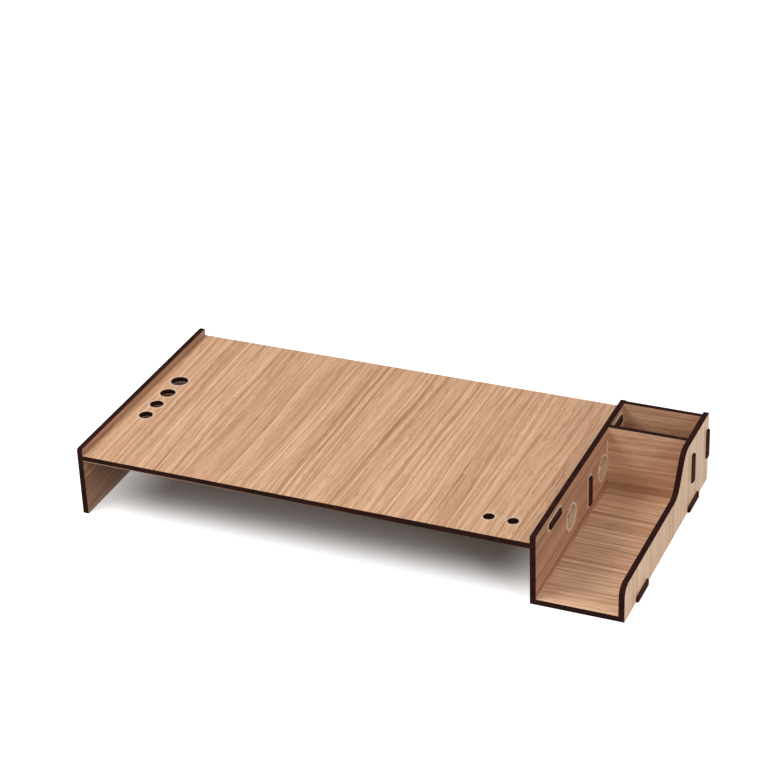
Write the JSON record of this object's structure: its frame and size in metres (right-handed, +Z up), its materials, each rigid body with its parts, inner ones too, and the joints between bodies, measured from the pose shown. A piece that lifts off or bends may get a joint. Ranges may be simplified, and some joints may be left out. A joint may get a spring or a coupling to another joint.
{
  "type": "laptop stand with side tray",
  "caption": "Flat-pack wooden laptop stand: a raised deck on side panels with room for a keyboard beneath, an open side tray with a rear pocket, pen holes and cable holes.",
  "frame": {"origin": "centre of the footprint, on the surface that the stand rests on", "axes": "+X to the right, towards the side tray; +Y to the rear; +Z up"},
  "size_m": [0.5768, 0.275, 0.077],
  "materials": {
    "stand_board": "satin wood-grain face on fibreboard, edges burnt dark by the laser",
    "tray_board": "satin wood-grain face on fibreboard, edges burnt dark by the laser"
  },
  "bodies": {
    "root": {"left_side_panel": "stand_board", "middle_side_panel": "stand_board", "top_panel": "stand_board", "brace": "stand_board", "tray_outer_panel": "tray_board", "tray_divider": "tray_board", "tray_back_panel": "tray_board", "tray_floor": "tray_board"}
  },
  "joints": []
}
